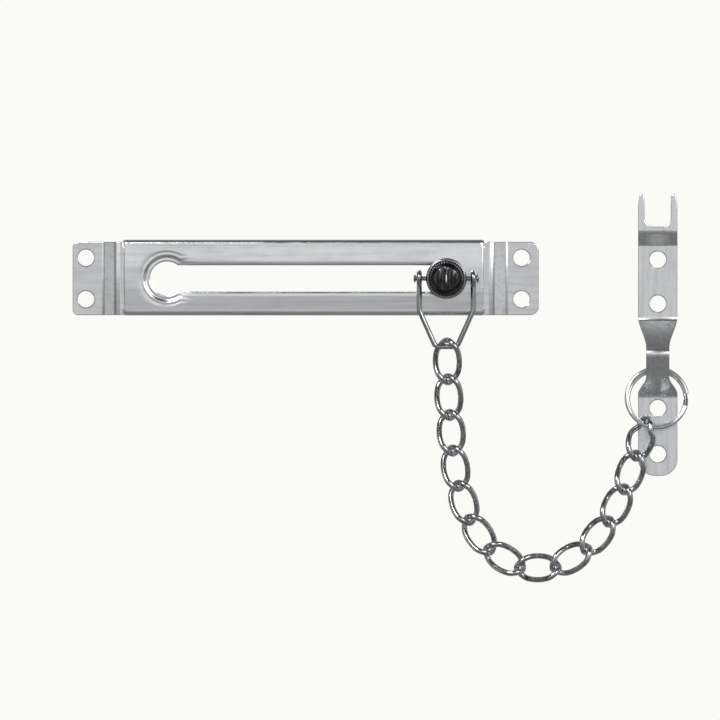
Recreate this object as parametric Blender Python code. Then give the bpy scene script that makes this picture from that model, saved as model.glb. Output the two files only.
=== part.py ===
# Door chain guard: slotted track plate, sliding knob with a wire bail, chain,
# split ring and jamb bracket.
#
# Frame: metres, +Z up, +X right along the slot.  The door and the jamb are the
# plane y = 0 and everything stands off it towards -Y.  The origin is the middle
# of the left screw tab's back face.  Sizes below are in millimetres and
# degrees; MM turns them into metres when a mesh is finished.
import math

import bmesh
import bpy
from mathutils import Matrix, Vector

MM = 0.001

# ---------------------------------------------------------------- dimensions
GAP = 0.3                    # clearance between neighbouring pieces
SHEET = 1.0                  # stamped sheet thickness
STAND = 3.2                  # raised sheet's back face off the wall
HOLE_R = 2.2                 # screw holes

# track plate
TAB_LEFT, TAB_RIGHT = -3.6, 122.3        # outer ends of the screw tabs
FOOT_LEFT, FOOT_RIGHT = 5.0, 113.4       # risers leave the tabs
HEAD_LEFT, HEAD_RIGHT = 8.3, 109.6       # risers reach the raised part
CHANNEL_LEFT, CHANNEL_RIGHT = 10.1, 107.5
PLATE_TOP, PLATE_BOTTOM = 10.5, -10.0
LIP_OFF_WALL = 0.8                       # free edges of the channel's flanges
LIP_BEND_R = 1.3
TAB_HALF = 9.9                           # half height of tabs and risers
TONGUE_HALF = 8.5                        # half height of the joint into the channel
TONGUE_IN = 1.4                          # how far the tongue runs into the channel
SHOULDER_IN = 0.3
SKIN = 0.05                              # tongue's faces lie this far inside the sheet
SHARP = 40.0                             # edges that turn more than this stay crisp
CORNER_LEFT, CORNER_RIGHT = 1.6, 2.4     # tab corner radii
TAB_HOLE_LEFT, TAB_HOLE_RIGHT, TAB_HOLE_Z = 0.0, 117.6, 5.6
SLOT_HALF = 3.55
KEYHOLE_X, KEYHOLE_R = 21.9, 4.6
RIM_R, RIM_DEPTH = 7.1, 0.55             # dished rim of the keyhole

# knob, washer and collar, all on the axis (KNOB_X, 0)
KNOB_X = 97.3
NECK_R = 3.25
TAIL_R, RIVET_R, RIVET_BACK = 1.7, 2.8, 0.45
WASHER_R, WASHER_T = 4.4, 1.3
HEAD_R, HEAD_BACK, HEAD_FRONT = 5.1, 8.1, 13.0
HEAD_DOME = 1.1                          # height of the domed face
TEETH, TOOTH = 40, 0.28
COLLAR_R, COLLAR_BACK, COLLAR_FRONT = 5.5, 4.5, 7.8
PIN_OFF_WALL, PIN_R, PIN_END = 6.8, 0.6, 8.25
PIN_HEAD_R, PIN_HEAD_T = 1.1, 0.6

# wire bail
BAIL_WIRE_R = 0.7
BAIL_HALF = 7.3                          # trunnion eyes left and right of the knob
BAIL_KNEE, BAIL_DROP = 8.6, 18.4         # end of the straight legs, lowest wire
BAIL_FOOT_HALF = 2.9
EYE_R = 1.6

# chain
LINKS = 13
CHAIN_OFF_WALL = 5.2
LINK_WIRE_R = 0.775
PITCH = 9.65
LINK_WIDTH = 8.0
LINK_TWIST = 60.0                        # each end's turn out of the link's own plane
RING_END_REACH = 2.8                     # the last link turns this early, to clear the ring
BAIL_HEADING = -89.5
HANG_MIDDLE, HANG_SWING = -6.2, 82.8     # heading = middle + swing * tanh(...)
HANG_LINK, HANG_SPREAD = 7.79, 2.56

# split ring
RING_R, RING_WIRE_R = 8.7, 0.53
COIL_STEP = 1.10
COIL_JOG = 26.0                          # stretch where one coil steps to the next
COIL_START = 8.0
RING_SLACK = 1.6                         # last link's wire to the ring's wire
RING_HEADING = 65.0                      # from the last link towards the ring's centre
RING_TOP_OFF_WALL = 1.85

# jamb bracket
BRACKET_X, BRACKET_HALF = 154.4, 5.33
BRACKET_TOP, BRACKET_BOTTOM = 22.8, -53.3
FORK_HALF, FORK_FLOOR, FORK_FLOOR_R = 3.5, 14.0, 2.2
PRONG_TAPER = 3.0
JOGGLE_TOP, JOGGLE_BOTTOM = 12.6, 9.2
BRIDGE_TOP, CREST_Z, BRIDGE_BOTTOM, CREST_OFF_WALL = -11.2, -20.3, -31.6, 9.0
NECK_HALF, NECK_TOP, NECK_BOTTOM, NECK_FLARE = 3.15, -18.8, -26.6, 4.6
FOOT_CORNER = 4.6
BRACKET_HOLES = (5.1, -6.8, -35.0, -47.4)


# ---------------------------------------------------------------- helpers
def material(name, rgb, roughness):
    """Bare metal of one colour."""
    made = bpy.data.materials.new(name)
    made.use_nodes = True
    shader = made.node_tree.nodes["Principled BSDF"]
    shader.inputs["Base Color"].default_value = (*rgb, 1.0)
    shader.inputs["Metallic"].default_value = 1.0
    shader.inputs["Roughness"].default_value = roughness
    made.diffuse_color = (*rgb, 1.0)
    return made


def make_object(bm, name, mat, origin=(0.0, 0.0, 0.0)):
    """Turns a bmesh in millimetres into an object whose origin is `origin`."""
    bmesh.ops.remove_doubles(bm, verts=bm.verts, dist=1e-4)
    bmesh.ops.recalc_face_normals(bm, faces=bm.faces)
    origin = Vector(origin)
    for vert in bm.verts:
        vert.co = (vert.co - origin) * MM
    mesh = bpy.data.meshes.new(name)
    bm.to_mesh(mesh)
    bm.free()
    mesh.shade_smooth()
    mesh.set_sharp_from_angle(angle=math.radians(SHARP))
    mesh.materials.append(mat)
    made = bpy.data.objects.new(name, mesh)
    made.location = origin * MM
    bpy.context.scene.collection.objects.link(made)
    return made


def combine(target, tool, operation):
    """Exact Boolean of target with tool, which is then only a guide."""
    tool.hide_render = True
    tool.display_type = 'WIRE'
    modifier = target.modifiers.new(tool.name, 'BOOLEAN')
    modifier.operation = operation
    modifier.solver = 'EXACT'
    modifier.object = tool


def along_x(u, v, w):
    """u along x, v off the wall, w along z."""
    return Vector((u, -v, w))


def along_z(u, v, w):
    """u along z, v off the wall, w along x."""
    return Vector((w, -v, u))


def on_wall(u, v, w):
    """u along x, v along z, w off the wall."""
    return Vector((u, -w, v))


def prism(bm, loop, low, high, place):
    """Extrudes the closed polygon `loop` from w = low to w = high."""
    near = [bm.verts.new(place(u, v, low)) for u, v in loop]
    far = [bm.verts.new(place(u, v, high)) for u, v in loop]
    bm.faces.new(near[::-1])
    bm.faces.new(far)
    for i in range(len(loop)):
        j = (i + 1) % len(loop)
        bm.faces.new((near[i], near[j], far[j], far[i]))


def arc(cx, cy, radius, start, stop, steps):
    """Points of an arc, both ends included; angles in degrees."""
    angles = [math.radians(start + (stop - start) * k / steps) for k in range(steps + 1)]
    return [(cx + radius * math.cos(t), cy + radius * math.sin(t)) for t in angles]


def circle(cx, cy, radius, steps):
    return arc(cx, cy, radius, 0.0, 360.0, steps)[:-1]


def fillet(path, radii, steps=6):
    """Open polyline with its inner corners rounded."""
    out = [Vector(path[0])]
    for i, radius in enumerate(radii, start=1):
        before, corner, after = (Vector(path[i + k]) for k in (-1, 0, 1))
        back, ahead = (before - corner).normalized(), (after - corner).normalized()
        half = back.angle(ahead) / 2.0
        middle = corner + (back + ahead).normalized() * (radius / math.sin(half))
        first = corner + back * (radius / math.tan(half)) - middle
        last = corner + ahead * (radius / math.tan(half)) - middle
        start = math.atan2(first.y, first.x)
        turn = (math.atan2(last.y, last.x) - start + math.pi) % (2 * math.pi) - math.pi
        for k in range(steps + 1):
            t = start + turn * k / steps
            out.append(middle + radius * Vector((math.cos(t), math.sin(t))))
    out.append(Vector(path[-1]))
    return out


def thicken(path, left, right):
    """Closed polygon `left` and `right` of an open path's direction."""
    sides = ([], [])
    for i, point in enumerate(path):
        steps = [path[k + 1] - path[k] for k in (i - 1, i) if 0 <= k < len(path) - 1]
        normals = [Vector((-d.y, d.x)).normalized() for d in (steps[0], steps[-1])]
        miter = (normals[0] + normals[1]).normalized()
        miter /= miter.dot(normals[0])
        for side, distance in zip(sides, (left, -right)):
            moved = point + miter * distance
            side.append((moved.x, moved.y))
    return sides[0] + sides[1][::-1]


def bridge(bm, rings, closed):
    """Faces between rings of vertices; a ring of one vertex is a pole."""
    pairs = list(zip(rings, rings[1:] + rings[:1]))
    for a, b in pairs if closed else pairs[:-1]:
        count = max(len(a), len(b))
        for k in range(count):
            j = (k + 1) % count
            corners = [a[k % len(a)], a[j % len(a)], b[j % len(b)], b[k % len(b)]]
            bm.faces.new(list(dict.fromkeys(corners)))


def lathe(bm, profile, segments, closed, radius_at=None):
    """Turns a profile of (radius, distance off the wall) about the knob's axis."""
    rings = []
    for radius, off_wall in profile:
        ring = []
        for k in range(segments if radius > 0.0 else 1):
            r = radius_at(radius, off_wall, k) if radius_at else radius
            t = 2 * math.pi * k / segments
            ring.append(bm.verts.new((KNOB_X + r * math.cos(t), -off_wall, r * math.sin(t))))
        rings.append(ring)
    bridge(bm, rings, closed)


def tube(bm, points, radius, sides, closed):
    """Round wire along points, with a frame that doesn't twist."""
    count = len(points)
    if closed:
        tangents = [(points[(i + 1) % count] - points[i - 1]).normalized() for i in range(count)]
    else:
        tangents = [(points[min(i + 1, count - 1)] - points[max(i - 1, 0)]).normalized()
                    for i in range(count)]
    ups = [tangents[0].orthogonal().normalized()]
    for i in range(1, count):
        up = tangents[i - 1].rotation_difference(tangents[i]) @ ups[-1]
        ups.append((up - tangents[i] * up.dot(tangents[i])).normalized())
    if closed:
        carried = tangents[-1].rotation_difference(tangents[0]) @ ups[-1]
        slip = ups[0].angle(carried)
        if tangents[0].dot(carried.cross(ups[0])) < 0:
            slip = -slip
        ups = [Matrix.Rotation(slip * i / count, 3, tangents[i]) @ up for i, up in enumerate(ups)]
    rings = []
    for point, tangent, up in zip(points, tangents, ups):
        side = tangent.cross(up)
        rings.append([bm.verts.new(point + radius * (up * x + side * y))
                      for x, y in circle(0.0, 0.0, 1.0, sides)])
    bridge(bm, rings, closed)
    if not closed:
        bm.faces.new(rings[0][::-1])
        bm.faces.new(rings[-1])


def direction(heading):
    """Unit vector in the wall's plane; 0 degrees is +X and 90 is +Z."""
    return Vector((math.cos(math.radians(heading)), 0.0, math.sin(math.radians(heading))))


def smooth_step(t):
    t = max(0.0, min(1.0, t))
    return t * t * (3 - 2 * t)


def drill(target, name, x, z, radius, near, far, steps=36):
    bm = bmesh.new()
    prism(bm, circle(x, z, radius, steps), near, far, on_wall)
    combine(target, make_object(bm, name, GUIDE), 'DIFFERENCE')


# ---------------------------------------------------------------- track plate
def track_end(sign, tab, foot, head, channel, corner_r):
    """Tab, riser and the tongue that runs into the channel; sign is +1 on the left."""
    half = SHEET / 2.0 - SKIN
    inner = channel + sign * TONGUE_IN
    path = fillet([(tab - sign, half), (foot, half), (head, STAND + SHEET / 2.0),
                   (inner, STAND + SHEET / 2.0)], (1.1, 1.3))
    bm = bmesh.new()
    prism(bm, thicken(path, half, half), -TAB_HALF - 1.0, TAB_HALF + 1.0, along_x)
    end = make_object(bm, "track_end", GUIDE)

    corner_x, corner_z = tab + sign * corner_r, TAB_HALF - corner_r
    outline = [(corner_x - sign * (u - corner_x), v)
               for u, v in arc(corner_x, -corner_z, corner_r, -90.0, 0.0, 6)
               + arc(corner_x, corner_z, corner_r, 0.0, 90.0, 6)]
    shoulder, past = channel + sign * SHOULDER_IN, inner + sign
    outline += [(shoulder, TAB_HALF), (shoulder, TONGUE_HALF), (past, TONGUE_HALF),
                (past, -TONGUE_HALF), (shoulder, -TONGUE_HALF), (shoulder, -TAB_HALF)]
    bm = bmesh.new()
    prism(bm, outline, -1.0, STAND + 2 * SHEET, on_wall)
    combine(end, make_object(bm, "track_end_outline", GUIDE), 'INTERSECT')
    return end


def make_track_plate():
    front = STAND + SHEET
    section = fillet([(PLATE_BOTTOM, LIP_OFF_WALL), (PLATE_BOTTOM, front),
                      (PLATE_TOP, front), (PLATE_TOP, LIP_OFF_WALL)], (LIP_BEND_R, LIP_BEND_R))
    bm = bmesh.new()
    prism(bm, thicken(section, 0.0, SHEET), CHANNEL_LEFT, CHANNEL_RIGHT, along_z)
    plate = make_object(bm, "track_plate", material("track_stainless", (0.72, 0.73, 0.74), 0.28))

    ends = ((1.0, TAB_LEFT, FOOT_LEFT, HEAD_LEFT, CHANNEL_LEFT, CORNER_LEFT),
            (-1.0, TAB_RIGHT, FOOT_RIGHT, HEAD_RIGHT, CHANNEL_RIGHT, CORNER_RIGHT))
    for end in ends:
        combine(plate, track_end(*end), 'UNION')
    for x in (TAB_HOLE_LEFT, TAB_HOLE_RIGHT):
        for z in (TAB_HOLE_Z, -TAB_HOLE_Z):
            drill(plate, "tab_hole", x, z, HOLE_R, -1.0, 2 * SHEET)

    near, far = STAND - SHEET, front + SHEET
    bm = bmesh.new()
    prism(bm, arc(KNOB_X, 0.0, SLOT_HALF, -90.0, 90.0, 18)
          + [(KEYHOLE_X, SLOT_HALF), (KEYHOLE_X, -SLOT_HALF)], near, far, on_wall)
    combine(plate, make_object(bm, "slot", GUIDE), 'DIFFERENCE')
    drill(plate, "keyhole", KEYHOLE_X, 0.0, KEYHOLE_R, near, far, 48)

    # a shallow cone dishes the keyhole's rim
    slope = (RIM_R - KEYHOLE_R) / RIM_DEPTH
    above, below = 0.5, 0.3 / slope
    bm = bmesh.new()
    rings = [[bm.verts.new(on_wall(x, z, off_wall)) for x, z in circle(KEYHOLE_X, 0.0, radius, 48)]
             for radius, off_wall in ((RIM_R + slope * above, front + above),
                                      (KEYHOLE_R - slope * below, front - RIM_DEPTH - below))]
    bridge(bm, rings, False)
    bm.faces.new(rings[0])
    bm.faces.new(rings[1][::-1])
    combine(plate, make_object(bm, "keyhole_rim", GUIDE), 'DIFFERENCE')


# ---------------------------------------------------------------- sliding knob
def make_washer():
    front = STAND - GAP
    back = front - WASHER_T
    bore = TAIL_R + GAP
    bm = bmesh.new()
    lathe(bm, [(bore, front), (WASHER_R, front), (WASHER_R, back), (bore, back)], 40, True)
    make_object(bm, "slide_washer", material("washer_steel", (0.60, 0.61, 0.62), 0.35),
                (KNOB_X, -(front + back) / 2.0, 0.0))


def make_knob():
    rivet_front = STAND - 2 * GAP - WASHER_T
    edge = HEAD_FRONT - HEAD_DOME
    dome_r, dome_start = HEAD_R - 0.7, edge + 0.35
    profile = [(0.0, RIVET_BACK), (RIVET_R * 0.7, RIVET_BACK), (RIVET_R, RIVET_BACK + 0.3),
               (RIVET_R, rivet_front), (TAIL_R, rivet_front), (TAIL_R, STAND), (NECK_R, STAND),
               (NECK_R, HEAD_BACK), (HEAD_R - 0.4, HEAD_BACK), (HEAD_R - 0.1, HEAD_BACK + 0.4),
               (HEAD_R, HEAD_BACK + 0.6), (HEAD_R, edge - 0.3), (HEAD_R - 0.12, edge),
               (dome_r, dome_start)]
    profile += [(dome_r * x, dome_start + (HEAD_FRONT - dome_start) * y)
                for x, y in arc(0.0, 0.0, 1.0, 0.0, 90.0, 6)[1:-1]]
    profile.append((0.0, HEAD_FRONT))

    def knurled(radius, off_wall, k):
        in_band = radius == HEAD_R and HEAD_BACK < off_wall < edge
        return radius - (TOOTH if in_band and k % 2 else 0.0)

    bm = bmesh.new()
    lathe(bm, profile, 2 * TEETH, False, knurled)
    make_object(bm, "knurled_knob", material("knob_dark_nickel", (0.16, 0.16, 0.17), 0.25),
                (KNOB_X, -(STAND + SHEET / 2.0), 0.0))


def make_collar():
    bore = NECK_R + GAP
    bm = bmesh.new()
    lathe(bm, [(bore, COLLAR_BACK), (COLLAR_R - 0.3, COLLAR_BACK), (COLLAR_R, COLLAR_BACK + 0.3),
               (COLLAR_R, COLLAR_FRONT - 0.5), (COLLAR_R - 0.5, COLLAR_FRONT),
               (bore, COLLAR_FRONT)], 48, True)
    origin = (KNOB_X, -CHAIN_OFF_WALL, 0.0)
    collar = make_object(bm, "bail_collar", material("collar_steel", (0.50, 0.51, 0.52), 0.30), origin)

    pin = [(COLLAR_R - 0.8, PIN_R), (PIN_END, PIN_R), (PIN_END, PIN_HEAD_R),
           (PIN_END + 0.6 * PIN_HEAD_T, PIN_HEAD_R), (PIN_END + PIN_HEAD_T, 0.6 * PIN_HEAD_R)]
    for sign in (1, -1):
        bm = bmesh.new()
        rings = [[bm.verts.new((KNOB_X + sign * x, -PIN_OFF_WALL + u, v))
                  for u, v in circle(0.0, 0.0, radius, 16)] for x, radius in pin]
        bridge(bm, rings, False)
        bm.faces.new(rings[0])
        bm.faces.new(rings[-1][::-1])
        combine(collar, make_object(bm, "trunnion", GUIDE, origin), 'UNION')


def make_bail():
    """One wire: eye, leg, flat bottom, leg, eye."""
    def eye(sign):
        # from below the pin, round its front and top, to its wall side
        return [Vector((KNOB_X + sign * BAIL_HALF, -(PIN_OFF_WALL + u), v))
                for u, v in arc(0.0, 0.0, EYE_R, -98.0, 180.0, 24)]

    corners = [(-BAIL_HALF, 0.0), (-BAIL_HALF, -BAIL_KNEE), (-BAIL_FOOT_HALF, -BAIL_DROP),
               (BAIL_FOOT_HALF, -BAIL_DROP), (BAIL_HALF, -BAIL_KNEE), (BAIL_HALF, 0.0)]
    rounded = fillet(corners, (3.0, 1.5, 1.5, 3.0))[1:-1]
    legs = [Vector((KNOB_X + p.x, -(PIN_OFF_WALL - EYE_R), p.y)) for p in rounded]
    bm = bmesh.new()
    tube(bm, eye(-1) + legs + eye(1)[::-1], BAIL_WIRE_R, 10, False)
    make_object(bm, "wire_bail", material("bail_wire_steel", (0.52, 0.53, 0.54), 0.25),
                (KNOB_X, -CHAIN_OFF_WALL, 0.0))


# ---------------------------------------------------------------- chain
def link_loop(early_reach=None):
    """Centreline of one link: long axis x, width z, its two ends turned opposite ways.
    The far end turns over its whole half, or over `early_reach`."""
    half_length = PITCH / 2.0 + GAP / 2.0 + LINK_WIRE_R
    half_width = LINK_WIDTH / 2.0 - LINK_WIRE_R
    straight = half_length - half_width
    side = [straight * (1 - 2 * k / 4.0) for k in (1, 2, 3)]
    flat = arc(straight, 0.0, half_width, -90.0, 90.0, 12)
    flat += [(u, half_width) for u in side]
    flat += arc(-straight, 0.0, half_width, 90.0, 270.0, 12)
    flat += [(-u, -half_width) for u in side]
    points = []
    for u, w in flat:
        reach = early_reach if early_reach and u > 0.0 else half_length
        turn = math.radians(LINK_TWIST) * min(1.0, u / reach)
        points.append(Vector((u, w * math.sin(turn), w * math.cos(turn))))
    return points


def make_chain():
    """The hanging links in turn; returns where the last one holds the ring."""
    steel = material("chain_steel", (0.46, 0.47, 0.48), 0.25)
    hinge = Vector((KNOB_X, -CHAIN_OFF_WALL, 0.0))
    hinge += direction(BAIL_HEADING) * (BAIL_DROP - BAIL_WIRE_R - GAP / 2.0)
    for k in range(1, LINKS + 1):
        heading = HANG_MIDDLE + HANG_SWING * math.tanh((k - HANG_LINK) / HANG_SPREAD)
        centre = hinge + direction(heading) * (PITCH / 2.0)
        turn = Matrix.Rotation(-math.radians(heading), 3, 'Y')
        loop = link_loop(RING_END_REACH if k == LINKS else None)
        bm = bmesh.new()
        tube(bm, [centre + turn @ point for point in loop], LINK_WIRE_R, 8, True)
        make_object(bm, "chain_link_%02d" % k, steel, hinge)
        hinge = hinge + direction(heading) * PITCH
    return hinge


# ---------------------------------------------------------------- split ring
def make_ring(hinge):
    """Two coils of wire: top behind the bridge, bottom in front of the bracket."""
    mean_r = RING_R - RING_WIRE_R
    reach = mean_r - RING_WIRE_R - RING_SLACK / 2.0
    centre = hinge + direction(RING_HEADING) * reach
    drop = direction(RING_HEADING).z * reach + mean_r
    lift = CHAIN_OFF_WALL - RING_TOP_OFF_WALL
    centre.y = -CHAIN_OFF_WALL + lift * (drop - mean_r) / drop
    tilt = Matrix.Rotation(-math.atan2(lift, drop), 3, 'X')
    steps = 88
    points = []
    for k in range(steps + 1):
        turned = 720.0 * k / steps * 0.988
        coil = max(0.0, min(1.0, (turned - (360.0 - COIL_JOG)) / COIL_JOG)) - 0.5
        t = math.radians(turned + COIL_START)
        points.append(centre + tilt @ Vector((mean_r * math.cos(t), COIL_STEP * coil,
                                              mean_r * math.sin(t))))
    bm = bmesh.new()
    tube(bm, points, RING_WIRE_R, 8, False)
    make_object(bm, "split_ring", material("ring_wire_steel", (0.55, 0.56, 0.57), 0.25), hinge)


# ---------------------------------------------------------------- jamb bracket
def bracket_half_width(z):
    if z > NECK_TOP:
        share = (z - NECK_TOP) / (BRIDGE_TOP + 1.0 - NECK_TOP)
    else:
        share = (NECK_BOTTOM - z) / NECK_FLARE
    return NECK_HALF + (BRACKET_HALF - NECK_HALF) * smooth_step(share)


def make_bracket():
    half = SHEET / 2.0
    path = fillet([(BRACKET_TOP + 1.0, STAND + half), (JOGGLE_TOP, STAND + half),
                   (JOGGLE_BOTTOM, half), (BRIDGE_TOP, half), (CREST_Z, CREST_OFF_WALL + half),
                   (BRIDGE_BOTTOM, half), (BRACKET_BOTTOM - 1.0, half)],
                  (1.2, 1.2, 2.2, 1.3, 2.0), 5)
    bm = bmesh.new()
    prism(bm, thicken(path, half, half), BRACKET_X - 8.0, BRACKET_X + 8.0, along_z)
    bracket = make_object(bm, "jamb_bracket", material("bracket_stainless", (0.66, 0.67, 0.68), 0.30))

    # right-hand half of the plan outline, from the foot up and down into the fork
    right = arc(BRACKET_HALF - FOOT_CORNER, BRACKET_BOTTOM + FOOT_CORNER, FOOT_CORNER, -90.0, 0.0, 8)
    low, high, steps = BRIDGE_BOTTOM - 1.4, BRIDGE_TOP + 2.0, 40
    levels = [low + (high - low) * k / steps for k in range(1, steps + 1)]
    right += [(bracket_half_width(z), z) for z in levels]
    right += [(BRACKET_HALF, BRACKET_TOP - PRONG_TAPER), (BRACKET_HALF - 0.35, BRACKET_TOP - 0.5),
              (BRACKET_HALF - 0.75, BRACKET_TOP), (FORK_HALF + 0.55, BRACKET_TOP),
              (FORK_HALF + 0.15, BRACKET_TOP - 0.5), (FORK_HALF, BRACKET_TOP - PRONG_TAPER)]
    right += arc(FORK_HALF - FORK_FLOOR_R, FORK_FLOOR + FORK_FLOOR_R, FORK_FLOOR_R, 0.0, -90.0, 6)
    outline = [(BRACKET_X + u, v) for u, v in right] + [(BRACKET_X - u, v) for u, v in right[::-1]]
    bm = bmesh.new()
    prism(bm, outline, -1.0, CREST_OFF_WALL + 5 * SHEET, on_wall)
    combine(bracket, make_object(bm, "bracket_outline", GUIDE), 'INTERSECT')
    for z in BRACKET_HOLES:
        drill(bracket, "bracket_hole", BRACKET_X, z, HOLE_R, -1.0, 2.5 * SHEET)


for old in list(bpy.data.objects):
    bpy.data.objects.remove(old, do_unlink=True)
GUIDE = material("guide", (0.5, 0.5, 0.5), 0.5)
make_track_plate()
make_washer()
make_knob()
make_collar()
make_bail()
make_ring(make_chain())
make_bracket()
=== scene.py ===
# Door chain guard: the visual model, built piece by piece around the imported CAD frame.
import math

import bmesh
import bpy
from mathutils import Matrix, Vector


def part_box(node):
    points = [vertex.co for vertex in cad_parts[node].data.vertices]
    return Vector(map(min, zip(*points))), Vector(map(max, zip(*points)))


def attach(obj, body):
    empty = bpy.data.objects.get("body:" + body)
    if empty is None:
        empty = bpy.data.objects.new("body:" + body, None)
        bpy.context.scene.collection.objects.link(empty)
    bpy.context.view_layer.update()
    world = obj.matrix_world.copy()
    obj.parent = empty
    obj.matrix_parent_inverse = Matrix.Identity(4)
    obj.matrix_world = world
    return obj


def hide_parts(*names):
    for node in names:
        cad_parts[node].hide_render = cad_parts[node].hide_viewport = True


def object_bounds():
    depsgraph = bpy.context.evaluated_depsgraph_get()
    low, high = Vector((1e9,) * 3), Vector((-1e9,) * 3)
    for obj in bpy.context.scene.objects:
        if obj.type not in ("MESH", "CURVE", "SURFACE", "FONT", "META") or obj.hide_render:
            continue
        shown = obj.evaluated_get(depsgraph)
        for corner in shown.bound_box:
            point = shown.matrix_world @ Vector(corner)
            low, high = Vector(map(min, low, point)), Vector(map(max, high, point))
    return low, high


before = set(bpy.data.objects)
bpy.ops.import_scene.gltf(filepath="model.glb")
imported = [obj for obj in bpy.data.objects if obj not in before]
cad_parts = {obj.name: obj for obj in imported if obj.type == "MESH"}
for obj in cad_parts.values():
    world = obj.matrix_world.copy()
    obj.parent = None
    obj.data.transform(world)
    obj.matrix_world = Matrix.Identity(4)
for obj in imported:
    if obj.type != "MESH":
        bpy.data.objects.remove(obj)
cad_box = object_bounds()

# Sizes are in millimetres and degrees; MM turns them into the frame's metres.
# The door and the jamb are the plane y = 0 and the object stands off it towards -Y.
MM = 0.001


def node_box(node):
    low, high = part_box(node)
    return low / MM, high / MM


TRACK_LOW, TRACK_HIGH = node_box("track_plate")
KNOB_LOW, KNOB_HIGH = node_box("knurled_knob")
BRACKET_LOW, BRACKET_HIGH = node_box("jamb_bracket")

# ---------------------------------------------------------------- dimensions
GAP = 0.3
SHEET = 1.0
STAND = 3.2
HOLE_R, CHAMFER = 2.2, 0.30
EDGE = 0.2                               # rounding of cut sheet edges
FLAT_AREA = 1.5                          # many-sided flat faces this large are shaded flat
SHARP = 38.0                             # edges that turn more than this stay sharp
NEAR = 1e-6                              # points closer than this count as the same
OFF_SLOT = 9.0                           # a distance from the slot where nothing rolls off

# track plate
TAB_LEFT, TAB_RIGHT = TRACK_LOW.x, TRACK_HIGH.x
FOOT_LEFT, FOOT_RIGHT = 5.0, 113.4
HEAD_LEFT, HEAD_RIGHT = 8.3, 109.6
CHANNEL_LEFT, CHANNEL_RIGHT = 10.1, 107.5
PLATE_TOP, PLATE_BOTTOM = TRACK_HIGH.z, TRACK_LOW.z
LIP_OFF_WALL = 0.8
LIP_BEND_R = 1.3
TAB_HALF, TONGUE_HALF = 9.9, 8.5
TONGUE_IN, SKIN = 1.4, 0.32               # the tongue lies this far below the face
CORNER_LEFT, CORNER_RIGHT = 1.6, 2.4
TAB_HOLE_LEFT, TAB_HOLE_RIGHT, TAB_HOLE_Z = 0.0, 117.6, 5.6
SLOT_HALF = 3.55
KEYHOLE_X, KEYHOLE_R = 21.9, 4.6
RIM_R, RIM_DEPTH = 7.5, 0.6              # dished rim of the keyhole
RIM_RIPPLE = 0.09                        # height of the coined rings in that rim
SLOT_ROLL, SLOT_ROLL_DEPTH = 1.3, 0.42   # rolled edge along the slot
CROWN = 0.30                             # how far the face falls back from slot to bend
END_ROLL, END_ROLL_DEPTH = 0.8, 0.42     # rounding of the channel's two ends
CROWDING = 1.6                           # how strongly the face's points crowd to its corners
TAB_BEND_R, HEAD_BEND_R = 1.8, 2.4       # middle radii of the risers' two bends

# knob, washer, collar and bail, on the axis (KNOB_X, 0)
KNOB_X = (KNOB_LOW.x + KNOB_HIGH.x) / 2
NECK_R = 3.25
TAIL_R, RIVET_R, RIVET_BACK = 1.7, 2.8, 0.45
WASHER_R, WASHER_T = 4.4, 1.3
HEAD_R, HEAD_BACK, HEAD_FRONT = 5.1, 8.1, -KNOB_LOW.y
HEAD_DOME = 1.1
TEETH, TOOTH = 40, 0.30
RIB_PITCH, RIB_DEPTH = 1.9, 0.4          # grip ribs across the knob's face
COLLAR_R, COLLAR_BACK, COLLAR_FRONT = 5.5, 4.5, 7.8
PIN_OFF_WALL, PIN_R, PIN_END = 6.8, 0.6, 8.25
PIN_HEAD_R, PIN_HEAD_T = 1.1, 0.6
BAIL_WIRE_R = 0.7
BAIL_HALF, BAIL_KNEE, BAIL_DROP = 7.3, 8.6, 18.4
BAIL_FOOT_HALF, EYE_R = 2.9, 1.6

# chain and split ring
LINKS = 13
CHAIN_OFF_WALL = 5.2
LINK_WIRE_R, PITCH, LINK_WIDTH = 0.775, 9.65, 8.0
LINK_TWIST, RING_END_REACH = 60.0, 2.8
BAIL_HEADING = -89.5
HANG_MIDDLE, HANG_SWING, HANG_LINK, HANG_SPREAD = -6.2, 82.8, 7.79, 2.56
RING_R, RING_WIRE_R, COIL_STEP, COIL_JOG, COIL_START = 8.7, 0.53, 1.10, 26.0, 8.0
CLEAR = 0.015                            # a visible wire stays this far inside its CAD solid
COIL_SHARE = 0.988                       # the wire ends just short of two full turns
COIL_INSET = 0.45                        # the second coil is wound this much tighter
RING_SLACK, RING_HEADING, RING_TOP_OFF_WALL = 1.6, 65.0, 1.85

# jamb bracket
BRACKET_HALF = (BRACKET_HIGH.x - BRACKET_LOW.x) / 2
BRACKET_X = BRACKET_LOW.x + BRACKET_HALF
BRACKET_TOP, BRACKET_BOTTOM = BRACKET_HIGH.z, BRACKET_LOW.z
FORK_HALF, FORK_FLOOR, FORK_FLOOR_R = 3.5, 14.0, 2.2
PRONG_TAPER = 3.0
JOGGLE_TOP, JOGGLE_BOTTOM = 12.6, 9.2
BRIDGE_TOP, CREST_Z, BRIDGE_BOTTOM, CREST_OFF_WALL = -11.2, -20.3, -31.6, 9.0
NECK_HALF, NECK_TOP, NECK_BOTTOM, NECK_FLARE = 3.15, -18.8, -26.6, 4.6
FOOT_CORNER = 4.6
BRACKET_HOLES = (5.1, -6.8, -35.0, -47.4)

# camera and studio
VIEW_CENTRE_X, VIEW_CENTRE_Z, VIEW_WIDTH = 74.0, -22.0, 194.4
BACKGROUND = (0.956, 0.965, 0.925)


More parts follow.
